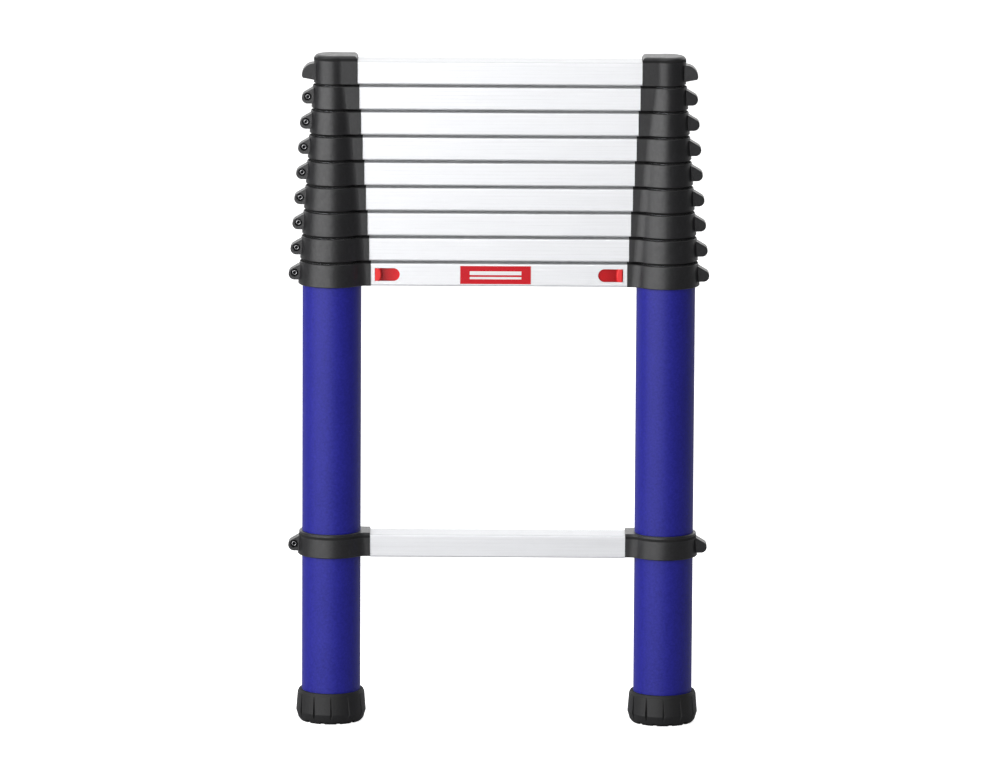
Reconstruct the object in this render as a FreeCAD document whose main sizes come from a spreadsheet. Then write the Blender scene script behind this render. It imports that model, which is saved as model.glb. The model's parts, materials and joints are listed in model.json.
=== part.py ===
import FreeCAD, Part
import math
import os
import Sketcher

# Closed ten-rung telescoping ladder. X runs along the rungs, the front is -Y, +Z is up, and the origin
# lies on the ground midway between the feet. Lengths are in millimetres.

DRIVING = {
    # stiles: nested tubes, numbered from the outermost, 1, to the innermost, 9
    "stile_spacing": 363.0,
    "tube_radius": 32.0,
    "tube_step": 2.0,
    "tube_wall": 1.5,
    "inner_tube_length": 360.0,
    "pin_hole_radius": 4.3,
    # heights
    "first_rung_bottom": 184.0,
    "rung_spacing": 300.0,
    "closed_pitch": 27.6,
    # rungs
    "rung_height": 25.0,
    "rung_depth": 36.0,
    "rung_wall": 1.6,
    "rung_corner": 1.8,
    "rib_pitch": 4.0,
    "rib_groove_width": 0.9,
    "rib_groove_depth": 0.4,
    "rib_count": 5,
    "tread_pitch": 5.0,
    "tread_count": 5,
    # collars
    "ring_wall": 4.1,
    "ring_flare": 0.6,
    "ring_draft": 0.9,
    "arm_flare": 0.6,
    "lip_thickness": 2.0,
    "lip_clearance": 0.3,
    "neck_inset": 3.0,
    "rest_gap": 0.3,
    "arm_reach": 42.4,
    "arm_step": 1.85,
    "arm_depth": 37.2,
    "arm_blend": 14.0,
    "mould_edge": 0.7,
    "low_collar_rise": 1.0,
    "spigot_length": 12.0,
    "short_spigot_length": 3.6,
    "spigot_clearance": 0.2,
    "cap_height": 30.6,
    "cap_edge": 5.0,
    # clamp lug and its screw
    "lug_reach": 11.0,
    "lug_radius": 6.2,
    "lug_height": 11.0,
    "lug_depth": 18.0,
    "lug_taper": 1.6,
    "lug_slope": 30,
    "cap_lug_reach": 13.0,
    "cap_lug_height": 8.1,
    "cap_lug_bottom": 2.5,
    "cap_lug_rake": 1.0,
    "clamp_slit": 1.4,
    "screw_offset": 4.4,
    "screw_radius": 1.9,
    "screw_length": 12.0,
    "screw_head_radius": 3.6,
    "screw_head_height": 3.2,
    "screw_recess": 4.6,
    "recess_radius": 4.3,
    "socket_width": 3.6,
    "socket_depth": 2.0,
    # feet
    "foot_height": 34.0,
    "foot_top_radius": 35.2,
    "foot_shoulder_radius": 36.6,
    "foot_waist_height": 11.0,
    "foot_radius": 38.2,
    "foot_heel_radius": 35.8,
    "foot_sole_radius": 33.4,
    "foot_sole_edge": 3.0,
    "foot_sole_thickness": 5.0,
    "foot_rib_count": 12,
    "foot_rib_groove": 0.6,
    "foot_step_width": 7.0,
    "tread_notch_width": 4.6,
    "tread_notch_height": 3.0,
    # lock pins
    "pin_radius": 4.0,
    "pin_gap": 0.35,
    "pin_head_radius": 5.6,
    "pin_head_length": 8.0,
    "pin_travel": 6.0,
    # release slides in the front of rung 2
    "window_start": 46.7,
    "window_length": 27.2,
    "window_height": 14.2,
    "slide_clearance": 0.3,
    "slide_overlap": 4.0,
    "slide_thickness": 3.0,
    "knob_length": 7.0,
    "knob_rise": 3.4,
    "knob_bulge": 2.2,
    "slide_scoop": 1.8,
    "block_length": 10.0,
    "block_height": 13.0,
    "tail_radius": 3.0,
    "tail_length": 22.0,
}

DOC = FreeCAD.newDocument("telescoping_ladder")
SHEET = DOC.addObject("Spreadsheet::Sheet", "sizes")


class Dim:
    """A size in mm that keeps its value together with the spreadsheet formula that drives it."""

    def __init__(self, value, text=None):
        self.value = float(value)
        self.text = text if text else "({:.6f})".format(self.value)

    def joined(self, other, sign, value):
        return Dim(value, "({} {} {})".format(self.text, sign, other.text))

    def __add__(self, other):
        other = as_dim(other)
        return self.joined(other, "+", self.value + other.value)

    def __radd__(self, other):
        return as_dim(other) + self

    def __sub__(self, other):
        other = as_dim(other)
        return self.joined(other, "-", self.value - other.value)

    def __rsub__(self, other):
        return as_dim(other) - self

    def __mul__(self, other):
        other = as_dim(other)
        return self.joined(other, "*", self.value * other.value)

    __rmul__ = __mul__

    def __truediv__(self, other):
        other = as_dim(other)
        return self.joined(other, "/", self.value / other.value)

    def __neg__(self):
        return as_dim(0) - self

    def root(self):
        return Dim(math.sqrt(self.value), "sqrt({})".format(self.text))


def as_dim(number):
    return number if isinstance(number, Dim) else Dim(number)


def fill_sheet():
    """Writes the driving sizes to the sheet and returns them by name."""
    sizes = {}
    for row, (name, value) in enumerate(DRIVING.items(), start=1):
        SHEET.set("A{}".format(row), name)
        SHEET.set("B{}".format(row), str(value))
        SHEET.setAlias("B{}".format(row), name)
        sizes[name] = Dim(value, "sizes." + name)
    DOC.recompute()
    return sizes


D = fill_sheet()


def bind(obj, prop, size):
    obj.setExpression(prop, as_dim(size).text)


# ---------------------------------------------------------------- sketches and features

def origin_feature(body, role):
    return next(f for f in body.Origin.OriginFeatures if f.Role == role)


def new_body(label):
    body = DOC.addObject("PartDesign::Body", label)
    body.Label = label
    body.AllowCompound = True
    return body


def sketch_on(body, name, role, offset=0, shift=0, turn=0):
    """A sketch on one of the body's own planes: offset is along its normal, shift along its x."""
    sketch = body.newObject("Sketcher::SketchObject", name)
    sketch.AttachmentSupport = [(origin_feature(body, role), "")]
    sketch.MapMode = "FlatFace"
    sketch.AttachmentOffset = FreeCAD.Placement(
        FreeCAD.Vector(), FreeCAD.Rotation(FreeCAD.Vector(0, 0, 1), turn))
    bind(sketch, "AttachmentOffset.Base.x", shift)
    bind(sketch, "AttachmentOffset.Base.z", offset)
    return sketch


def constrain(sketch, kind, *items):
    """Adds one constraint. A Dim as the last item becomes a datum driven by the sheet."""
    size = items[-1]
    if isinstance(size, Dim):
        index = sketch.addConstraint(Sketcher.Constraint(kind, *items[:-1], size.value))
        sketch.setExpression("Constraints[{}]".format(index), size.text)
    else:
        sketch.addConstraint(Sketcher.Constraint(kind, *items))


START, END, CENTRE = 1, 2, 3
ORIGIN = (-1, 1)


def place_point(sketch, geometry, point, x, y):
    constrain(sketch, "DistanceX", *ORIGIN, geometry, point, as_dim(x))
    constrain(sketch, "DistanceY", *ORIGIN, geometry, point, as_dim(y))


def add_circle(sketch, x, y, radius):
    x, y, radius = as_dim(x), as_dim(y), as_dim(radius)
    centre = FreeCAD.Vector(x.value, y.value, 0)
    index = sketch.addGeometry(Part.Circle(centre, FreeCAD.Vector(0, 0, 1), radius.value), False)
    constrain(sketch, "Radius", index, radius)
    place_point(sketch, index, CENTRE, x, y)


def add_outline(sketch, corners, arcs=None):
    """A closed outline through the (x, y) corners.

    arcs maps the number of a side to (centre, axis, bulge): that side is round about the centre, whose
    coordinate along axis is fixed. A half circle also needs bulge, the direction of its middle.
    """
    arcs = arcs or {}
    corners = [(as_dim(x), as_dim(y)) for x, y in corners]
    points = [FreeCAD.Vector(x.value, y.value, 0) for x, y in corners]
    count = len(points)
    sides = []
    for i, start in enumerate(points):
        end = points[(i + 1) % count]
        if i in arcs:
            index = sketch.addGeometry(arc_side(start, end, *arcs[i]), False)
        else:
            index = sketch.addGeometry(Part.LineSegment(start, end), False)
        forward = sketch.getPoint(index, START).distanceToPoint(start) < 1e-6
        sides.append((index, START, END) if forward else (index, END, START))
    for i, (index, near, far) in enumerate(sides):
        next_index, next_near, next_far = sides[(i + 1) % count]
        constrain(sketch, "Coincident", index, far, next_index, next_near)
        place_point(sketch, index, near, *corners[i])
        if i in arcs:
            centre, axis = arcs[i][:2]
            fixed = as_dim(centre[0 if axis == "DistanceX" else 1])
            constrain(sketch, axis, *ORIGIN, index, CENTRE, fixed)


def arc_side(start, end, centre, axis, bulge=None):
    """The shorter arc from start to end about the centre, or the half circle toward bulge."""
    middle = FreeCAD.Vector(as_dim(centre[0]).value, as_dim(centre[1]).value, 0)
    if bulge:
        direction = FreeCAD.Vector(*bulge, 0)
    else:
        direction = (start + end) / 2 - middle
    direction.normalize()
    return Part.Arc(start, middle + direction * middle.distanceToPoint(start), end)


def add_rectangle(sketch, x_low, x_high, y_low, y_high):
    add_outline(sketch, [(x_low, y_low), (x_high, y_low), (x_high, y_high), (x_low, y_high)])


def extrude(body, kind, sketch, length, symmetric=False, reverse=False):
    """A Pad or Pocket of the sketch, to one side or to both sides of its plane."""
    feature = body.newObject("PartDesign::" + kind, sketch.Name + "_" + kind.lower())
    feature.Profile = sketch
    feature.Reversed = reverse
    feature.SideType = "Symmetric" if symmetric else "One side"
    bind(feature, "Length", length)
    return feature


def through_all(body, sketch, symmetric=False, reverse=False):
    feature = body.newObject("PartDesign::Pocket", sketch.Name + "_pocket")
    feature.Profile = sketch
    feature.Reversed = reverse
    feature.SideType = "Symmetric" if symmetric else "One side"
    feature.Type = "ThroughAll"
    return feature


def round_edges(body, name, radius, wanted):
    """Rounds the edges of the body's tip for which wanted(edge) holds."""
    DOC.recompute()
    tip = body.Tip
    names = []
    for number, edge in enumerate(tip.Shape.Edges, start=1):
        if wanted(edge):
            names.append("Edge{}".format(number))
    feature = body.newObject("PartDesign::Fillet", name)
    feature.Base = (tip, names)
    bind(feature, "Radius", radius)
    return feature


def half_turn_pair(body):
    """Repeats the whole piece half a turn about the ladder's middle, which gives the other side."""
    pattern = body.newObject("PartDesign::PolarPattern", body.Label + "_pair")
    pattern.TransformMode = "Whole shape"
    pattern.Axis = (origin_feature(body, "Z_Axis"), [""])
    pattern.Angle = 360.0
    pattern.Occurrences = 2
    body.Tip = pattern


def set_place(obj, height, side=-1):
    """Side pieces are drawn on the left. The right one is the same piece turned half round."""
    turn = 0 if side < 0 else 180
    obj.Placement = FreeCAD.Placement(
        FreeCAD.Vector(0, 0, as_dim(height).value), FreeCAD.Rotation(FreeCAD.Vector(0, 0, 1), turn))
    bind(obj, "Placement.Base.z", height)


# ---------------------------------------------------------------- shared positions

SIDES = ((-1, "left"), (1, "right"))
LAST_TUBE = 9
LAST_RUNG = 10
LEFT = -D["stile_spacing"] / 2
RUNG_MIDDLE = D["rung_height"] / 2
TUBE_TOP = D["rung_height"] - D["lip_thickness"]
TRAVEL = D["rung_spacing"] - D["closed_pitch"]


def rung_bottom(rung):
    """Height of a rung's underside with the ladder closed."""
    if rung == 1:
        return D["first_rung_bottom"]
    return D["first_rung_bottom"] + D["rung_spacing"] + D["closed_pitch"] * (rung - 2)


def tube_radius(tube):
    return D["tube_radius"] - D["tube_step"] * (tube - 1)


def clamped_radius(rung):
    """Outer radius of the tube that this rung's collars hold: the outer tube for rungs 1 and 2."""
    return tube_radius(max(rung - 1, 1))


def ring_radius(rung):
    return clamped_radius(rung) + D["ring_wall"]


def arm_reach(rung):
    return D["arm_reach"] - D["arm_step"] * max(rung - 2, 0)


def spigot_length(rung):
    return D["short_spigot_length"] if rung == 2 else D["spigot_length"]


# ---------------------------------------------------------------- tubes

def make_tube(label, tube, bottom, length, holes, pair=False, side=-1):
    """A round tube on the left stile, with pin holes in the wall that faces the rungs."""
    body = new_body(label)
    wall = sketch_on(body, label + "_section", "XY_Plane")
    add_circle(wall, LEFT, 0, tube_radius(tube))
    add_circle(wall, LEFT, 0, tube_radius(tube) - D["tube_wall"])
    extrude(body, "Pad", wall, length)
    if holes:
        cuts = sketch_on(body, label + "_holes", "YZ_Plane", LEFT)
        for height in holes:
            add_circle(cuts, 0, height, D["pin_hole_radius"])
        through_all(body, cuts, reverse=True)
    if pair:
        half_turn_pair(body)
    set_place(body, bottom, side)
    return body


def make_outer_tube(side, name):
    bottom = D["foot_sole_thickness"]
    top = rung_bottom(2) + TUBE_TOP
    pin_height = rung_bottom(2) + RUNG_MIDDLE - bottom
    return make_tube("outer_tube_" + name, 1, bottom, top - bottom, [pin_height], side=side)


def make_inner_tubes(tube):
    """Inner tubes hang from the collars above them. The lower hole takes the pin when extended."""
    length = D["inner_tube_length"]
    bottom = rung_bottom(tube + 1) + TUBE_TOP - length
    lock_height = rung_bottom(tube) + RUNG_MIDDLE - TRAVEL - bottom
    holes = [lock_height]
    if tube < LAST_TUBE:
        holes.append(length - TUBE_TOP + RUNG_MIDDLE)
    return make_tube("tubes_{}".format(tube), tube, bottom, length, holes, pair=True)


# ---------------------------------------------------------------- rungs

def add_grooves(body, label, role, across, up, turned):
    """One shallow groove in each outer face, for a pattern to repeat."""
    half = D["rib_groove_width"] / 2
    sketch = sketch_on(body, label, role)
    for sign in (-1, 1) if turned else (1,):
        face, floor = sign * across, sign * (across - D["rib_groove_depth"])
        if turned:
            add_rectangle(sketch, face, floor, up - half, up + half)
        else:
            add_rectangle(sketch, up - half, up + half, face, floor)
    return through_all(body, sketch, symmetric=True)


def repeat(pattern, count):
    pattern.Occurrences = int(count.value)
    bind(pattern, "Occurrences", count)


def repeat_along(body, name, original, axis, pitch, count):
    pattern = body.newObject("PartDesign::LinearPattern", name)
    pattern.Originals = [original]
    pattern.Direction = (origin_feature(body, axis), [""])
    pattern.Mode = "Extent"
    bind(pattern, "Length", pitch * (count - 1))
    repeat(pattern, count)
    body.Tip = pattern


def make_rung(rung):
    """A hollow extrusion with ribbed front, back and tread, drawn about the rung's own middle."""
    label = "rung_{}".format(rung)
    body = new_body(label)
    half_depth = D["rung_depth"] / 2
    half_height = D["rung_height"] / 2
    wall = D["rung_wall"]
    section = sketch_on(body, label + "_section", "YZ_Plane")
    add_rectangle(section, -half_depth, half_depth, -half_height, half_height)
    add_rectangle(section, wall - half_depth, half_depth - wall, wall - half_height, half_height - wall)
    length = D["stile_spacing"] - 2 * arm_reach(rung)
    extrude(body, "Pad", section, length, symmetric=True)

    def outer_corner(edge):
        box = edge.BoundBox
        depth = abs(box.Center.y)
        return box.XLength > length.value - 1 and depth > (half_depth - wall / 2).value

    round_edges(body, label + "_corners", D["rung_corner"], outer_corner)
    lowest = -D["rib_pitch"] * (D["rib_count"] - 1) / 2
    sides = add_grooves(body, label + "_rib", "YZ_Plane", half_depth, lowest, True)
    repeat_along(body, label + "_ribs", sides, "Z_Axis", D["rib_pitch"], D["rib_count"])
    nearest = -D["tread_pitch"] * (D["tread_count"] - 1) / 2
    top = add_grooves(body, label + "_tread", "YZ_Plane", half_height, nearest, False)
    repeat_along(body, label + "_treads", top, "Y_Axis", D["tread_pitch"], D["tread_count"])
    if rung == 2:
        cut_windows(body, label)
    set_place(body, rung_bottom(rung) + RUNG_MIDDLE)
    return body


def from_stile(side, distance):
    """X of a point this far from the axis of the left (-1) or right (1) stile, toward the middle."""
    return side * (D["stile_spacing"] / 2 - distance)


def add_slide_outline(sketch, side, start, length, height):
    """Square toward the stile and a half circle toward the middle."""
    radius = height / 2
    outer = from_stile(side, start)
    centre = from_stile(side, start + length - radius)
    corners = [(outer, -radius), (outer, radius), (centre, radius), (centre, -radius)]
    add_outline(sketch, corners, {2: ((centre, 0), "DistanceX", (-side, 0))})


def cut_windows(body, label):
    """Openings in the front for the release slides."""
    sketch = sketch_on(body, label + "_windows", "XZ_Plane", D["rung_depth"] / 2)
    for side in (-1, 1):
        add_slide_outline(sketch, side, D["window_start"], D["window_length"], D["window_height"])
    extrude(body, "Pocket", sketch, D["rung_depth"] / 4)


# ---------------------------------------------------------------- collars

def neck_length():
    return D["closed_pitch"] - D["rung_height"] - D["rest_gap"]


def add_shell_outline(sketch, rung, ring_growth=0, arm_growth=0):
    """Plan of a collar: the ring, and the arm that grows out of it through round blends."""
    ring = ring_radius(rung) + ring_growth
    blend = D["arm_blend"]
    half = D["arm_depth"] / 2 + arm_growth
    reach = ring + blend
    along = (reach * reach - (half + blend) * (half + blend)).root()
    blend_x = LEFT + along
    touch_x = LEFT + along * ring / reach
    touch_y = (half + blend) * ring / reach
    end = LEFT + arm_reach(rung)
    corners = [(touch_x, -touch_y), (blend_x, -half), (end, -half),
               (end, half), (blend_x, half), (touch_x, touch_y), (LEFT - ring, 0)]
    low, high = (blend_x, -half - blend), (blend_x, half + blend)
    around = ((LEFT, 0), "DistanceX")
    add_outline(sketch, corners, {0: (low, "DistanceX"), 4: (high, "DistanceX"), 5: around, 6: around})


def add_cap(body, label, rung):
    """The top collar is closed and its crown is rounded."""
    block = sketch_on(body, label + "_block", "XY_Plane")
    add_shell_outline(block, rung)
    extrude(body, "Pad", block, D["cap_height"])
    round_edges(body, label + "_crown", D["cap_edge"], lambda edge: level(edge, D["cap_height"]))


def add_shell(body, label, rung):
    """Ring and arm in one moulding with bevelled rims, narrower at its top, where the next collar stands."""
    low = D["low_collar_rise"] if rung == 1 else as_dim(0)
    high = D["rung_height"] + (D["low_collar_rise"] * 2 if rung == 1 else 0)
    bevel = D["mould_edge"]
    levels = [(low, D["ring_flare"] - bevel, D["arm_flare"] - bevel),
              (low + bevel, D["ring_flare"], D["arm_flare"]),
              (high - bevel, -D["ring_draft"], 0),
              (high, -D["ring_draft"] - bevel, -bevel)]
    plans = []
    for number, (level_height, ring_growth, arm_growth) in enumerate(levels, start=1):
        plan = sketch_on(body, "{}_plan_{}".format(label, number), "XY_Plane", level_height)
        add_shell_outline(plan, rung, ring_growth, arm_growth)
        plans.append(plan)
    loft = body.newObject("PartDesign::AdditiveLoft", label + "_shell")
    loft.Profile = plans[0]
    loft.Sections = plans[1:]
    loft.Ruled = True
    body.Tip = loft


def add_lug(body, label, rung):
    """Clamp lug on the outer side: a round nose and a flank that rises to the ring."""
    radius = D["lug_radius"]
    nose_x = LEFT - ring_radius(rung) - D["lug_reach"] + radius
    root_x = LEFT - ring_radius(rung) + D["ring_wall"] / 2
    slope = math.radians(D["lug_slope"].value)
    flank_x = nose_x - radius * math.sin(slope)
    flank_z = D["lug_height"] + radius * math.cos(slope)
    nose = sketch_on(body, label + "_nose", "XZ_Plane")
    add_circle(nose, nose_x, D["lug_height"], radius)
    extrude(body, "Pad", nose, D["lug_depth"], symmetric=True)
    flank = sketch_on(body, label + "_flank", "XZ_Plane")
    top = flank_z + (root_x - flank_x) * math.tan(slope)
    low = D["lug_height"] - radius
    corners = [(flank_x, flank_z), (nose_x, low), (root_x, low), (root_x, top)]
    add_outline(flank, corners)
    extrude(body, "Pad", flank, D["lug_depth"], symmetric=True)
    taper = sketch_on(body, label + "_taper", "XY_Plane")
    face = D["lug_depth"] / 2
    tip_x = nose_x - radius * 2
    for side in (-1, 1):
        inner = side * (face - D["lug_taper"])
        add_outline(taper, [(root_x, side * face), (tip_x, side * face), (tip_x, inner)])
    through_all(body, taper, symmetric=True)


def add_cap_lug(body, label, rung):
    """The top collar's lug has no screw: a quarter round above a sloping underside."""
    ring_x = LEFT - ring_radius(rung)
    root_x = ring_x + D["ring_wall"]
    nose_x = ring_x - D["cap_lug_reach"]
    nose_z = D["cap_lug_height"]
    radius = D["cap_lug_reach"]
    corners = [(nose_x, nose_z), (ring_x, nose_z + radius), (root_x, nose_z + radius),
               (root_x, D["cap_lug_bottom"]), (nose_x + D["cap_lug_rake"], nose_z - D["cap_lug_bottom"])]
    sketch = sketch_on(body, label + "_lug", "XZ_Plane")
    add_outline(sketch, corners, {0: ((ring_x, nose_z), "DistanceX")})
    extrude(body, "Pad", sketch, D["lug_depth"], symmetric=True)


def screw_x(rung):
    return LEFT - ring_radius(rung) - D["screw_offset"]


def cut_clamp(body, label, rung):
    """The clamp slit through ring and lug, and the recessed blind hole of its screw."""
    slit = sketch_on(body, label + "_slit", "XY_Plane")
    half = D["clamp_slit"] / 2
    outer = LEFT - ring_radius(rung) - D["lug_reach"] * 2
    inner = LEFT - clamped_radius(rung) + D["tube_step"]
    add_rectangle(slit, outer, inner, -half, half)
    through_all(body, slit, symmetric=True)
    front = D["lug_depth"] / 2
    recess = sketch_on(body, label + "_recess", "XZ_Plane", front)
    add_circle(recess, screw_x(rung), RUNG_MIDDLE, D["recess_radius"])
    extrude(body, "Pocket", recess, D["screw_recess"])
    hole = sketch_on(body, label + "_hole", "XZ_Plane", front)
    add_circle(hole, screw_x(rung), RUNG_MIDDLE, D["screw_radius"])
    extrude(body, "Pocket", hole, D["screw_recess"] + D["screw_length"] + D["rest_gap"])


def add_spigot(body, label, rung):
    """The plug that enters the hollow rung."""
    side = D["rung_depth"] / 2 - D["rung_wall"] - D["spigot_clearance"]
    low = D["rung_wall"] + D["spigot_clearance"]
    spigot = sketch_on(body, label + "_spigot", "YZ_Plane", LEFT + arm_reach(rung))
    add_rectangle(spigot, -side, side, low, D["rung_height"] - low)
    extrude(body, "Pad", spigot, spigot_length(rung))


def add_neck(body, label, rung):
    """The narrow ring under a stacked collar, which stands on the collar below."""
    neck = sketch_on(body, label + "_neck", "XY_Plane")
    add_circle(neck, LEFT, 0, ring_radius(rung) - D["neck_inset"])
    extrude(body, "Pad", neck, neck_length(), reverse=True)


def bore_ring(body, label, rung):
    """Seat of the clamped tube, open from below, and the hole in the lip for the next tube."""
    neck = neck_length() if rung > 2 else as_dim(0)
    seat = sketch_on(body, label + "_seat", "XY_Plane", -neck)
    add_circle(seat, LEFT, 0, clamped_radius(rung))
    depth = D["rung_height"] * 2 if rung == 1 else TUBE_TOP + neck
    extrude(body, "Pocket", seat, depth, reverse=True)
    if 2 <= rung < LAST_RUNG:
        lip = sketch_on(body, label + "_lip", "XY_Plane")
        add_circle(lip, LEFT, 0, tube_radius(rung) + D["lip_clearance"])
        extrude(body, "Pocket", lip, D["rung_height"] * 2, reverse=True)
        bore = sketch_on(body, label + "_pin_bore", "YZ_Plane", LEFT)
        add_circle(bore, 0, RUNG_MIDDLE, D["pin_hole_radius"])
        length = arm_reach(rung) + spigot_length(rung) * 2
        extrude(body, "Pocket", bore, length, reverse=True)


def make_collar(label, rung, pair=False, side=-1):
    """Moulded fitting that holds a rung's end and clamps round a tube, drawn from the rung's underside."""
    body = new_body(label)
    cap = rung == LAST_RUNG
    if cap:
        add_cap(body, label, rung)
        add_cap_lug(body, label, rung)
    else:
        add_shell(body, label, rung)
        add_lug(body, label, rung)
    add_spigot(body, label, rung)
    if rung > 2:
        add_neck(body, label, rung)
    bore_ring(body, label, rung)
    if not cap:
        cut_clamp(body, label, rung)
    if pair:
        half_turn_pair(body)
    set_place(body, rung_bottom(rung), side)
    return body


def level(edge, height):
    """True for an edge that lies in the horizontal plane at this height."""
    box = edge.BoundBox
    return abs(box.ZMin - height.value) < 0.01 and abs(box.ZMax - height.value) < 0.01


# ---------------------------------------------------------------- screws

def make_screws(label, rung, levels=1):
    """Clamp screws of a pair of collars, heads in the front of the left lug and the back of the right."""
    body = new_body(label)
    seat = D["screw_recess"] - D["lug_depth"] / 2
    head = seat - D["screw_head_height"]
    profile = sketch_on(body, label + "_profile", "XY_Plane", shift=screw_x(rung))
    add_outline(profile, [(0, head), (D["screw_head_radius"], head), (D["screw_head_radius"], seat),
                          (D["screw_radius"], seat), (D["screw_radius"], seat + D["screw_length"]),
                          (0, seat + D["screw_length"])])
    revolve(body, profile, "V_Axis")
    socket = sketch_on(body, label + "_socket", "XZ_Plane", -head, shift=screw_x(rung))
    corner = D["socket_width"] / math.sqrt(3)
    hexagon = [(corner * math.cos(math.radians(60 * i)), corner * math.sin(math.radians(60 * i)))
               for i in range(6)]
    add_outline(socket, hexagon)
    extrude(body, "Pocket", socket, D["socket_depth"])
    if levels > 1:
        stack = body.newObject("PartDesign::LinearPattern", label + "_levels")
        stack.TransformMode = "Whole shape"
        stack.Direction = (origin_feature(body, "Z_Axis"), [""])
        bind(stack, "Length", D["rung_spacing"])
        stack.Occurrences = levels
        body.Tip = stack
    half_turn_pair(body)
    set_place(body, rung_bottom(rung) + RUNG_MIDDLE)
    return body


def revolve(body, sketch, axis):
    feature = body.newObject("PartDesign::Revolution", sketch.Name + "_revolution")
    feature.Profile = sketch
    feature.ReferenceAxis = (sketch, [axis])
    feature.Angle = 360.0
    return feature


# ---------------------------------------------------------------- feet

def make_foot(side, name):
    """Rubber boot under an outer tube: a flared cup with stepped panels and a notched sole."""
    label = "foot_" + name
    body = new_body(label)
    profile = sketch_on(body, label + "_profile", "XZ_Plane", shift=LEFT)
    bore = D["tube_radius"]
    top = D["foot_height"]
    add_outline(profile, [(0, 0), (D["foot_sole_radius"], 0),
                          (D["foot_heel_radius"], D["foot_sole_edge"]),
                          (D["foot_radius"], D["foot_waist_height"]),
                          (D["foot_shoulder_radius"], top - D["foot_sole_edge"]),
                          (D["foot_top_radius"], top), (bore, top), (bore, D["foot_sole_thickness"]),
                          (0, D["foot_sole_thickness"])])
    revolve(body, profile, "V_Axis")
    far = D["foot_radius"] + D["foot_sole_edge"]
    step = sketch_on(body, label + "_step", "XY_Plane", D["foot_sole_edge"], shift=LEFT)
    inner = D["foot_shoulder_radius"] - D["foot_rib_groove"]
    add_outline(step, [(inner, 0), (far, 0), (far, D["foot_step_width"])])
    cut = extrude(body, "Pocket", step, top - D["foot_sole_edge"] * 2, reverse=True)
    repeat_round(body, label + "_panels", cut, profile, D["foot_rib_count"])
    notch = sketch_on(body, label + "_notch", "XY_Plane", shift=LEFT, turn=180 / D["foot_rib_count"].value)
    half = D["tread_notch_width"] / 2
    add_rectangle(notch, D["foot_sole_radius"] - D["foot_sole_edge"], far, -half, half)
    cut = extrude(body, "Pocket", notch, D["tread_notch_height"], reverse=True)
    repeat_round(body, label + "_tread", cut, profile, D["foot_rib_count"])
    set_place(body, 0, side)
    return body


def repeat_round(body, name, original, axis_sketch, count):
    """Repeats a cut round the vertical axis of the sketch."""
    pattern = body.newObject("PartDesign::PolarPattern", name)
    pattern.Originals = [original]
    pattern.Axis = (axis_sketch, ["V_Axis"])
    pattern.Angle = 360.0
    repeat(pattern, count)
    body.Tip = pattern


# ---------------------------------------------------------------- lock pins and release slides

def make_lock_pin(rung, side, name):
    """Spring pin in a rung's end. Its tip rests against the tube that slides inside the collar."""
    label = "lock_pin_{}_{}".format(rung, name)
    body = new_body(label)
    radius = D["pin_radius"]
    bevel = radius / 4
    tip = LEFT + tube_radius(rung) + D["pin_gap"]
    socket_end = LEFT + arm_reach(rung) + spigot_length(rung)
    nose = [(tip, 0), (tip, radius - bevel), (tip + bevel, radius)]
    if rung == 2:
        shoulder = socket_end + D["rest_gap"]
        end = shoulder + D["tail_length"]
        rest = [(shoulder, radius), (shoulder, D["tail_radius"]), (end, D["tail_radius"]), (end, 0)]
    else:
        shoulder = socket_end + D["pin_travel"]
        end = shoulder + D["pin_head_length"]
        rest = [(shoulder, radius), (shoulder, D["pin_head_radius"]), (end, D["pin_head_radius"]), (end, 0)]
    profile = sketch_on(body, label + "_profile", "XZ_Plane")
    add_outline(profile, nose + rest)
    revolve(body, profile, "H_Axis")
    set_place(body, rung_bottom(rung) + RUNG_MIDDLE, side)
    return body


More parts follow.
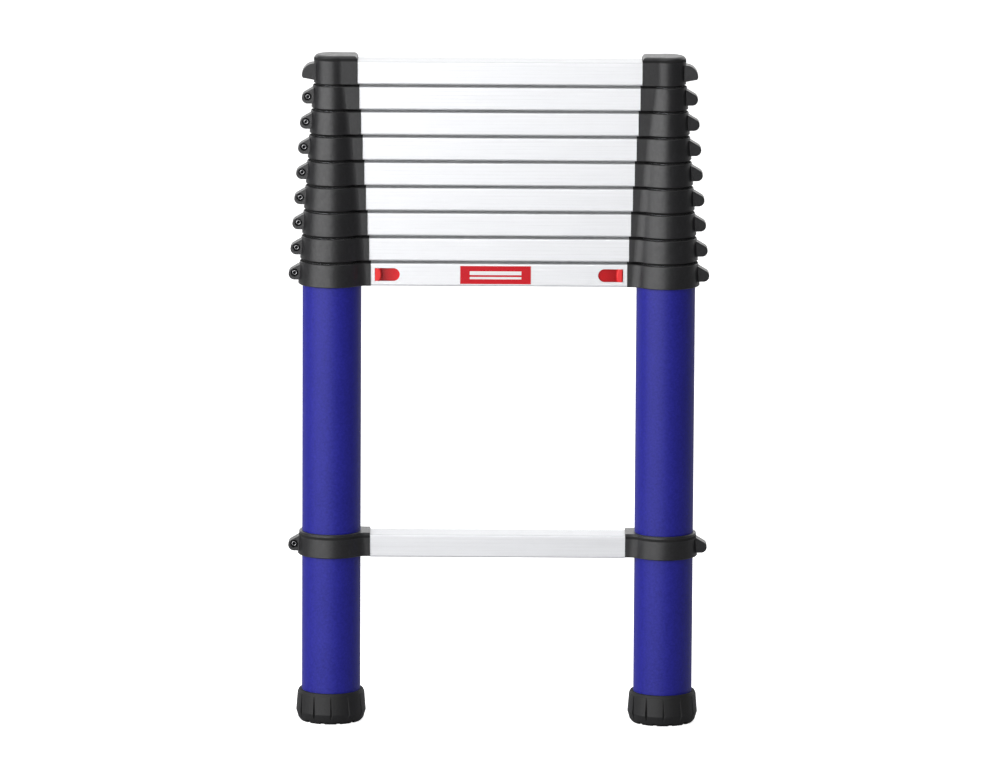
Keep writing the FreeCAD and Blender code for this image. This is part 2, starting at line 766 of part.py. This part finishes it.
def make_release_button(side, name):
    """Slide behind the window in rung 2: a raised knob, a scooped floor, and a block on the pin's tail."""
    label = "release_button_" + name
    body = new_body(label)
    start = D["window_start"] + D["slide_clearance"]
    face = D["rung_depth"] / 2 - D["rung_wall"] - D["slide_clearance"]
    back = face - D["slide_thickness"]
    outer = from_stile(side, start)
    plate = sketch_on(body, label + "_plate", "XZ_Plane", back)
    add_slide_outline(plate, side, start, D["window_length"] + D["slide_overlap"],
                      D["window_height"] + D["slide_overlap"] / 2)
    extrude(body, "Pad", plate, D["slide_thickness"])
    half = D["window_height"] / 2 - D["slide_clearance"]
    knob_end = from_stile(side, start + D["knob_length"])
    bulge = D["knob_bulge"]
    knob_side = knob_end + side * bulge
    arc_radius = (half * half + bulge * bulge) / (2 * bulge)
    arc_middle = knob_end + side * arc_radius
    knob = sketch_on(body, label + "_knob", "XZ_Plane", back)
    add_outline(knob, [(outer, -half), (knob_side, -half), (knob_side, half), (outer, half)],
                {1: ((arc_middle, 0), "DistanceX")})
    extrude(body, "Pad", knob, D["slide_thickness"] + D["knob_rise"])
    front = -(face + D["knob_rise"])
    round_edges(body, label + "_grip", D["knob_rise"] / 2,
                lambda edge: edge.BoundBox.ZLength > half.value and edge.BoundBox.YMax < front.value + 0.01)
    scoop_end = from_stile(side, start + D["window_length"])
    scoop = sketch_on(body, label + "_scoop", "XY_Plane")
    add_outline(scoop, [(knob_end, -face - D["knob_rise"]), (knob_end, D["slide_scoop"] - face),
                        (scoop_end, -face), (scoop_end, -face - D["knob_rise"])])
    extrude(body, "Pocket", scoop, D["window_height"] * 2, symmetric=True)
    block = sketch_on(body, label + "_block", "XZ_Plane", back)
    tall = D["block_height"] / 2
    add_rectangle(block, outer, from_stile(side, start + D["block_length"]), -tall, tall)
    extrude(body, "Pad", block, back + D["tail_radius"] * 2, reverse=True)
    bore = sketch_on(body, label + "_bore", "YZ_Plane")
    add_circle(bore, 0, 0, D["tail_radius"])
    through_all(body, bore, symmetric=True)
    set_place(body, rung_bottom(2) + RUNG_MIDDLE)
    return body


# ---------------------------------------------------------------- the whole ladder

def make_base():
    pieces = []
    for side, name in SIDES:
        pieces.append(make_outer_tube(side, name))
        pieces.append(make_foot(side, name))
        for rung in (1, 2):
            pieces.append(make_collar("collar_{}_{}".format(rung, name), rung, side=side))
        pieces.append(make_release_button(side, name))
    pieces.append(make_screws("collar_screws_base", 1, levels=2))
    return pieces


def make_sections():
    pieces = []
    for tube in range(2, LAST_TUBE + 1):
        rung = tube + 1
        pieces.append(make_inner_tubes(tube))
        pieces.append(make_collar("collars_{}".format(rung), rung, pair=True))
        if rung < LAST_RUNG:
            pieces.append(make_screws("collar_screws_{}".format(rung), rung))
    return pieces


def make_pins():
    return [make_lock_pin(rung, side, name) for rung in range(2, LAST_RUNG) for side, name in SIDES]


def check(pieces):
    """Stops if the document or a piece has failed."""
    for obj in DOC.Objects:
        if "Invalid" in obj.State or "Error" in obj.State:
            raise RuntimeError("{} failed: {}".format(obj.Label, obj.State))
    for piece in pieces:
        shape = piece.Shape
        if shape.isNull() or not shape.isValid():
            raise RuntimeError("{} has no valid shape".format(piece.Label))
        print("{:22s} solids {} volume {:10.1f}".format(piece.Label, len(shape.Solids), shape.Volume))


def main():
    pieces = make_base() + make_sections() + make_pins()
    pieces += [make_rung(rung) for rung in range(1, LAST_RUNG + 1)]
    DOC.recompute()
    check(pieces)
    os.makedirs("parts", exist_ok=True)
    for piece in pieces:
        piece.Shape.exportStep("parts/{}.step".format(piece.Label))


main()
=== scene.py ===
import json
import math

import bmesh
import bpy
from mathutils import Euler, Matrix, Vector


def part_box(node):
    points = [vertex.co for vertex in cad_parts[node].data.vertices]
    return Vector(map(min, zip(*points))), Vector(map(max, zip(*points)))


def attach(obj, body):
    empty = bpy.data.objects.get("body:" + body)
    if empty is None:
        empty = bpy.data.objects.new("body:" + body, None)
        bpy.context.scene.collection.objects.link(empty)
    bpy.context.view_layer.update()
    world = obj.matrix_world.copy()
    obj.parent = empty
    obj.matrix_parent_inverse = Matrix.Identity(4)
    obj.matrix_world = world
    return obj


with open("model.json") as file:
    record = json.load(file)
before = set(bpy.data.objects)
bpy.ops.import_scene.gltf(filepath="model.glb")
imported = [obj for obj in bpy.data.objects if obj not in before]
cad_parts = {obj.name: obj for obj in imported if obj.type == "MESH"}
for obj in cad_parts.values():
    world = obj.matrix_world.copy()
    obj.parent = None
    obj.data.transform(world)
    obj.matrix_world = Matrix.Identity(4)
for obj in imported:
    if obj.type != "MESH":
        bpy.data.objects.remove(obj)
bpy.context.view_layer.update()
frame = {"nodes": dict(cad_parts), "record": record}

MM = 0.001
GROOVE_STRETCH = 0.01
UPWARD_SHADE_SHARE = 0.68
NECK_SHADE_EDGE = 0.2 * MM
SLIDE_DEPTH = 5.4 * MM
SCREW_HEAD_RADIUS = 3.6 * MM
RIM_SECTION = ((1.7, 0.0), (1.85, 0.24), (2.1, 0.34), (2.35, 0.24), (2.5, 0.0))
LABEL_SIZE = (77.8 * MM, 20.8 * MM, 0.15 * MM)
LABEL_CORNER = 0.6 * MM
LABEL_SHIFT = 3.7 * MM
LABEL_GAP = 0.05 * MM
FLOOR_REACH = 6.0
LIT_POINT = (0, 0, 0.38)
LAMPS = (
    ("key_light", (-2.2, -2.6, 1.35), (5.4, 2.6), 160),
    ("top_light", (-0.3, 0.2, 3.0), (3.0, 3.0), 30),
)
CAMERA_PLACE = (0.0018, -10.0, 2.163)
CAMERA_TILT = 10.15
CAMERA_ROLL = 0.32
CAMERA_LENS = 335.7


# ---- colours and node helpers ----

def colour(red, green, blue):
    """A colour given as screen values from 0 to 255, in the linear numbers that shaders take."""
    linear = []
    for value in (red, green, blue):
        share = value / 255
        linear.append(share / 12.92 if share <= 0.04045 else ((share + 0.055) / 1.055) ** 2.4)
    return (*linear, 1.0)


def shaded(tone, share):
    """The same tone with its brightness at this share."""
    return (*(channel * share for channel in tone[:3]), 1.0)


def set_range(node, low, high, start, end):
    """Makes a Map Range node turn start to end into low to high."""
    for name, value in (("From Min", start), ("From Max", end), ("To Min", low), ("To Max", high)):
        node.inputs[name].default_value = value


class Finish:
    """A procedural material: one Principled shader whose colour, roughness and relief come from nodes."""

    def __init__(self, name, **plain):
        self.material = bpy.data.materials.new(name)
        self.material.use_nodes = True
        self.tree = self.material.node_tree
        self.shader = self.tree.nodes["Principled BSDF"]
        for socket, value in plain.items():
            self.shader.inputs[socket.replace("_", " ")].default_value = value
        coordinates = self.tree.nodes.new("ShaderNodeTexCoord")
        self.place = coordinates.outputs["Object"]
        self.normal = None

    def node(self, kind, **settings):
        made = self.tree.nodes.new(kind)
        for name, value in settings.items():
            setattr(made, name, value)
        return made

    def link(self, output, target):
        self.tree.links.new(output, target)

    def along(self, axis, vector=None):
        """The place on the object along an axis, or the same part of another vector."""
        split = self.node("ShaderNodeSeparateXYZ")
        self.link(vector or self.place, split.inputs["Vector"])
        return split.outputs[axis]

    def upward(self, start, end):
        """0 where the surface is steep and 1 where it faces up, by the height of its normal."""
        surface = self.node("ShaderNodeNewGeometry")
        return self.between(self.along("Z", surface.outputs["Normal"]), 0.0, 1.0, start, end)

    def maths(self, operation, *values):
        made = self.node("ShaderNodeMath", operation=operation)
        for value, socket in zip(values, made.inputs):
            if isinstance(value, bpy.types.NodeSocket):
                self.link(value, socket)
            else:
                socket.default_value = value
        return made.outputs[0]

    def noise(self, scale, detail=2.0, stretch=(1, 1, 1), roughness=0.5, offset=(0, 0, 0)):
        """Noise whose grains are 1 / scale metres across, drawn out along an axis where stretch is small."""
        mapping = self.node("ShaderNodeMapping")
        mapping.inputs["Scale"].default_value = stretch
        mapping.inputs["Location"].default_value = offset
        self.link(self.place, mapping.inputs["Vector"])
        made = self.node("ShaderNodeTexNoise")
        made.inputs["Scale"].default_value = scale
        made.inputs["Detail"].default_value = detail
        made.inputs["Roughness"].default_value = roughness
        self.link(mapping.outputs["Vector"], made.inputs["Vector"])
        return made.outputs["Fac"]

    def between(self, source, low, high, start=0.3, end=0.7):
        """Turns a source from 0 to 1 into a number from low to high."""
        made = self.node("ShaderNodeMapRange")
        set_range(made, low, high, start, end)
        self.link(source, made.inputs["Value"])
        return made.outputs["Result"]

    def tints(self, source, *stops):
        """Turns a source from 0 to 1 into a colour. Each stop is a position and a colour."""
        ramp = self.node("ShaderNodeValToRGB").color_ramp
        made = self.tree.nodes[-1]
        for element, (position, tint) in zip(ramp.elements, stops):
            element.position = position
            element.color = tint
        for position, tint in stops[2:]:
            ramp.elements.new(position).color = tint
        self.link(source, made.inputs["Fac"])
        return made.outputs["Color"]

    def mixed(self, share, first, second, blend="MIX"):
        """Mixes two colours by a share."""
        made = self.node("ShaderNodeMix", data_type="RGBA", blend_type=blend)
        for socket, value in ((made.inputs[0], share), (made.inputs[6], first), (made.inputs[7], second)):
            if isinstance(value, bpy.types.NodeSocket):
                self.link(value, socket)
            else:
                socket.default_value = value
        return made.outputs[2]

    def relief(self, source, height, strength=1.0):
        """Adds relief of this height in metres on top of what is there."""
        made = self.node("ShaderNodeBump")
        made.inputs["Strength"].default_value = strength
        made.inputs["Distance"].default_value = height
        self.link(source, made.inputs["Height"])
        if self.normal:
            self.link(self.normal, made.inputs["Normal"])
        self.normal = made.outputs["Normal"]
        self.link(self.normal, self.shader.inputs["Normal"])

    def paint(self, output, socket="Base Color"):
        self.link(output, self.shader.inputs[socket])


# ---- the materials of the record's slots ----

def powder_coat():
    """Blue powder coat with its orange peel."""
    finish = Finish("blue_powder_coat", Metallic=0.0, IOR=1.5, Specular_IOR_Level=0.4)
    speckle = finish.noise(430, detail=4, roughness=0.7)
    cloud = finish.noise(22, detail=2)
    fine = finish.tints(speckle, (0.35, colour(12, 14, 116)), (0.65, colour(42, 42, 168)))
    broad = finish.tints(cloud, (0.3, colour(24, 26, 136)), (0.7, colour(30, 31, 146)))
    finish.paint(finish.mixed(0.5, fine, broad))
    finish.paint(finish.between(speckle, 0.40, 0.52), "Roughness")
    finish.relief(speckle, 0.2 * MM, 0.5)
    return finish.material


def drawn_aluminium(name, along, tone, rough, bare):
    """Aluminium with the fine lines of its drawing or extrusion along one axis, with painted shade darkening
    the faces that point up.

    along is the number of that axis, and bare is 1 for clean metal and less for metal under dull oxide.
    """
    finish = Finish(name, Metallic=bare)
    stretch = [1.0, 1.0, 1.0]
    stretch[along] = GROOVE_STRETCH
    lines = finish.noise(1400, detail=4, stretch=stretch)
    cloud = finish.noise(30, detail=2)
    drawn = finish.tints(lines, (0.3, shaded(tone, 0.94)), (0.7, tone))
    clean = finish.mixed(finish.between(cloud, 0.0, 0.35), drawn, tone)
    # painted shade: faces that point up get a darker copy of the tone
    finish.paint(finish.mixed(finish.upward(0.5, 0.9), clean, shaded(tone, UPWARD_SHADE_SHARE)))
    finish.paint(finish.between(lines, rough - 0.05, rough + 0.08), "Roughness")
    finish.relief(lines, 0.02 * MM, 0.4)
    return finish.material


def plastic_colour(finish, base, light, grain):
    """The cloudy, finely speckled colour that the spark-eroded grain of a mould gives plastic."""
    spots = finish.tints(finish.noise(grain, detail=3), (0.35, base), (0.68, light))
    return finish.mixed(finish.between(finish.noise(45, detail=3), 0.15, 0.6), base, spots)


def collar_nylon():
    """Charcoal nylon. The narrow necks between stacked collars get painted shade: a near-black band with
    duller gloss, so they stay dark.
    """
    finish = Finish("charcoal_nylon", Metallic=0.0, IOR=1.6)
    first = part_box("rung_3")[0][2]
    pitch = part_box("rung_4")[0][2] - first
    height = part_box("rung_3")[1][2] - first
    within = finish.maths("FLOORED_MODULO", finish.maths("SUBTRACT", finish.along("Z"), first), pitch)
    neck_shade = finish.between(within, 0.0, 1.0, height - NECK_SHADE_EDGE, height)
    body = plastic_colour(finish, colour(15, 15, 17), colour(34, 34, 37), 420)
    # painted shade: the neck band between stacked collars is near black
    finish.paint(finish.mixed(neck_shade, body, colour(7, 7, 8)))
    mottle = finish.noise(260, detail=5, roughness=0.75)
    gloss = finish.between(mottle, 0.31, 0.47)
    finish.paint(finish.maths("MAXIMUM", gloss, finish.between(neck_shade, 0.0, 0.9, 0, 1)), "Roughness")
    finish.relief(mottle, 0.3 * MM, 0.6)
    return finish.material


def slide_nylon():
    """Red nylon with painted light and shade by depth: pale at the knob in front and dark at the bottom of
    the scoop.
    """
    finish = Finish("red_nylon", Metallic=0.0, IOR=1.5, Specular_IOR_Level=0.3)
    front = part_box("release_button_left")[0][1]
    depth = finish.between(finish.along("Y"), 0.0, 1.0, front, front + SLIDE_DEPTH)
    # painted highlight towards the front of the knob, painted shade deeper in the scoop
    shade = finish.tints(depth, (0.2, colour(240, 56, 58)), (0.98, colour(160, 4, 16)),
                         (0.62, colour(222, 26, 34)))
    specks = finish.between(finish.noise(1000, detail=3), 0.0, 0.12)
    finish.paint(finish.mixed(specks, shade, colour(240, 70, 74)))
    finish.paint(finish.between(finish.noise(60), 0.34, 0.44), "Roughness")
    return finish.material


def foot_rubber():
    """Black rubber, dull, with painted shade darkening the upward rim."""
    finish = Finish("black_rubber", Metallic=0.0, IOR=1.5)
    body = plastic_colour(finish, colour(21, 21, 22), colour(34, 34, 35), 900)
    upward = finish.upward(0.25, 0.85)
    # painted shade: faces that point up go near black
    finish.paint(finish.mixed(upward, body, colour(5, 5, 6)))
    finish.paint(finish.between(upward, 0.56, 0.85, 0, 1), "Roughness")
    finish.relief(finish.noise(900, detail=3), 0.05 * MM, 0.5)
    return finish.material


def steel(name, tone, rough):
    """Plated or blackened steel, finely mottled."""
    finish = Finish(name, Metallic=1.0)
    turned = finish.noise(1800, detail=3)
    finish.paint(finish.tints(turned, (0.3, shaded(tone, 0.75)), (0.7, tone)))
    finish.paint(finish.between(turned, rough - 0.06, rough + 0.08), "Roughness")
    return finish.material


MATERIALS = {
    "outer_tube": powder_coat(),
    "inner_tube": drawn_aluminium("drawn_aluminium", 2, colour(222, 224, 228), 0.32, 1.0),
    "rung": drawn_aluminium("extruded_aluminium", 0, colour(252, 253, 255), 0.42, 0.7),
    "collar": collar_nylon(),
    "foot_rubber": foot_rubber(),
    # the screws are near black partly as blackened steel and partly as painted shade standing in for the
    # shadow of their recesses
    "screw": steel("blackened_steel_and_recess_shade", colour(26, 26, 28), 0.34),
    "pin": steel("zinc_plated_steel", colour(196, 196, 190), 0.28),
    "release": slide_nylon(),
}

slot_of = {part["node"]: part["material_slot"] for part in frame["record"]["subparts"]}
for name, node in frame["nodes"].items():
    node.data.materials.clear()
    node.data.materials.append(MATERIALS[slot_of[name]])


def placed(net, name, material):
    """Turns a finished net into an object of the scene."""
    bmesh.ops.recalc_face_normals(net, faces=net.faces)
    mesh = bpy.data.meshes.new(name)
    net.to_mesh(mesh)
    net.free()
    mesh.materials.append(material)
    made = bpy.data.objects.new(name, mesh)
    bpy.context.scene.collection.objects.link(made)
    return made


# ---- bright socket rims of the clamp screws ----

def add_rim(net, centre, facing, sides=24):
    """A small rounded ring round a screw's socket, turned about the screw's axis, which runs along Y."""
    rows = []
    for side in range(sides):
        turn = math.radians(360) * side / sides
        rows.append([net.verts.new((centre[0] + radius * MM * math.cos(turn),
                                    centre[1] + facing * proud * MM,
                                    centre[2] + radius * MM * math.sin(turn)))
                     for radius, proud in RIM_SECTION])
    for side, one in enumerate(rows):
        other = rows[(side + 1) % sides]
        for step in range(len(RIM_SECTION)):
            following = (step + 1) % len(RIM_SECTION)
            net.faces.new((one[step], one[following], other[following], other[step]))


def make_rims():
    """A rim for every screw, in one piece for each node, riding on the body that the screws ride on."""
    finish = steel("bright_socket_rim", colour(206, 206, 208), 0.26)
    bodies = frame["record"]["behaviour"]["bodies"]
    body_of = {node: body for body, nodes in bodies.items() for node in nodes}
    for name, centres in screw_heads().items():
        net = bmesh.new()
        for centre, facing in centres:
            add_rim(net, centre, facing)
        rims = placed(net, name + "_rims", finish)
        for face in rims.data.polygons:
            face.use_smooth = True
        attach(rims, body_of[name])


def screw_heads():
    """Where the middle of each screw head's face is, and which way it faces, by node."""
    heads = {}
    for name in frame["nodes"]:
        if slot_of[name] != "screw":
            continue
        low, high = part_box(name)
        radius = SCREW_HEAD_RADIUS
        levels = [low[2] + radius]
        if high[2] - low[2] > 4 * radius:
            levels.append(high[2] - radius)
        heads[name] = [((low[0] + radius, low[1], level), -1) for level in levels]
        heads[name] += [((high[0] - radius, high[1], level), 1) for level in levels]
    return heads


make_rims()


# ---- the label on the second rung ----

def rounded_sheet(net, width, height, radius, steps=6):
    """A flat sheet in the XZ plane about the origin, with round corners, facing -Y."""
    corners = []
    for quarter, (x, z) in enumerate(((1, 1), (-1, 1), (-1, -1), (1, -1))):
        for step in range(steps + 1):
            turn = math.radians(90) * (quarter + step / steps)
            corners.append((x * (width / 2 - radius) + radius * math.cos(turn), 0,
                            z * (height / 2 - radius) + radius * math.sin(turn)))
    face = net.faces.new([net.verts.new(corner) for corner in corners])
    net.normal_update()
    if face.normal.y > 0:
        face.normal_flip()
    return face


def label_finish(width, height):
    """A plain red sticker with a pale border and two pale bars, without lettering."""
    finish = Finish("printed_label", Metallic=0.0, IOR=1.5, Specular_IOR_Level=0.3)

    def inside(axis, low, high):
        """1 between two places along an axis, else 0."""
        place = finish.along(axis)
        above = finish.maths("GREATER_THAN", place, low)
        return finish.maths("MULTIPLY", above, finish.maths("LESS_THAN", place, high))

    def block(left, right, bottom, top):
        """1 in a rectangle whose sides are given as shares of the label's width and height."""
        across = inside("X", left * width, right * width)
        return finish.maths("MULTIPLY", across, inside("Z", bottom * height, top * height))

    grain = finish.noise(700, detail=2)
    red = finish.tints(grain, (0.3, colour(200, 18, 32)), (0.7, colour(212, 24, 38)))
    white = colour(240, 238, 238)
    field = finish.mixed(block(-0.493, 0.493, -0.475, 0.475), white, red)
    field = finish.mixed(block(-0.36, 0.36, 0.0, 0.2), field, white)
    field = finish.mixed(block(-0.36, 0.36, -0.22, -0.1), field, white)
    finish.paint(field)
    finish.paint(finish.between(grain, 0.3, 0.4), "Roughness")
    return finish.material


def make_label():
    """A thin sticker just in front of the ribs of rung 2, a little left of its middle."""
    width, height, thickness = LABEL_SIZE
    net = bmesh.new()
    face = rounded_sheet(net, width, height, LABEL_CORNER)
    pushed = bmesh.ops.extrude_face_region(net, geom=[face])
    moved = [item for item in pushed["geom"] if isinstance(item, bmesh.types.BMVert)]
    bmesh.ops.translate(net, verts=moved, vec=(0, -thickness, 0))
    label = placed(net, "label", label_finish(width, height))
    low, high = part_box("rung_2")
    label.location = ((low[0] + high[0]) / 2 - LABEL_SHIFT, low[1] - LABEL_GAP, (low[2] + high[2]) / 2)
    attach(label, "base")


make_label()


# ---- floor, light and camera ----

def make_stage():
    """A pale floor that the camera sees as white and that throws little light back onto the ladder."""
    net = bmesh.new()
    corners = ((-1, -1), (1, -1), (1, 1), (-1, 1))
    net.faces.new([net.verts.new((x * FLOOR_REACH, y * FLOOR_REACH, 0)) for x, y in corners])
    finish = Finish("pale_floor", Roughness=0.9, Emission_Color=(1, 1, 1, 1))
    seen = finish.node("ShaderNodeLightPath").outputs["Is Camera Ray"]
    finish.paint(finish.between(seen, 0.05, 0.75, 0, 1), "Emission Strength")
    pale = finish.tints(finish.noise(3), (0.3, colour(246, 246, 247)), (0.7, colour(250, 250, 250)))
    finish.paint(finish.mixed(seen, colour(150, 150, 152), pale))
    placed(net, "floor", finish.material)


def add_lamp(name, place, size, power):
    """A soft rectangular light that faces the middle of the ladder."""
    light = bpy.data.lights.new(name, "AREA")
    light.shape = "RECTANGLE"
    light.size, light.size_y = size
    light.energy = power
    lamp = bpy.data.objects.new(name, light)
    bpy.context.scene.collection.objects.link(lamp)
    lamp.location = place
    lamp.visible_camera = False
    lamp.rotation_euler = (Vector(LIT_POINT) - Vector(place)).to_track_quat("-Z", "Y").to_euler()


def make_world():
    """Surroundings that are dim in front and bright behind the ladder. The camera itself sees plain white."""
    world = bpy.data.worlds.new("studio")
    world.use_nodes = True
    tree = world.node_tree
    surroundings = tree.nodes["Background"]
    backdrop = tree.nodes.new("ShaderNodeBackground")
    for background in (surroundings, backdrop):
        background.inputs["Color"].default_value = (1.0, 1.0, 1.0, 1.0)
    backdrop.inputs["Strength"].default_value = 1.0
    direction = tree.nodes.new("ShaderNodeTexCoord")
    split = tree.nodes.new("ShaderNodeSeparateXYZ")
    behind = tree.nodes.new("ShaderNodeMapRange")
    behind.interpolation_type = "SMOOTHSTEP"
    set_range(behind, 0.16, 1.6, 0.2, 0.85)
    choice = tree.nodes.new("ShaderNodeMixShader")
    ray = tree.nodes.new("ShaderNodeLightPath")
    for output, target in (
            (direction.outputs["Generated"], split.inputs["Vector"]),
            (split.outputs["Y"], behind.inputs["Value"]),
            (behind.outputs["Result"], surroundings.inputs["Strength"]),
            (ray.outputs["Is Camera Ray"], choice.inputs["Fac"]),
            (surroundings.outputs["Background"], choice.inputs[1]),
            (backdrop.outputs["Background"], choice.inputs[2]),
            (choice.outputs["Shader"], tree.nodes["World Output"].inputs["Surface"])):
        tree.links.new(output, target)
    bpy.context.scene.world = world


def make_camera():
    """A long lens far in front, looking down a little, rolled as a camera that isn't quite level."""
    camera = bpy.data.cameras.new("camera")
    camera.lens = CAMERA_LENS
    camera.sensor_width = 36.0
    camera.clip_start, camera.clip_end = 0.1, 60.0
    holder = bpy.data.objects.new("camera", camera)
    bpy.context.scene.collection.objects.link(holder)
    holder.location = CAMERA_PLACE
    level = Euler((math.radians(90 - CAMERA_TILT), 0, 0)).to_matrix()
    holder.rotation_euler = (level @ Matrix.Rotation(math.radians(CAMERA_ROLL), 3, "Z")).to_euler()
    bpy.context.scene.camera = holder


make_stage()
make_world()
for lamp_settings in LAMPS:
    add_lamp(*lamp_settings)
make_camera()
bpy.context.scene.view_settings.view_transform = "Standard"
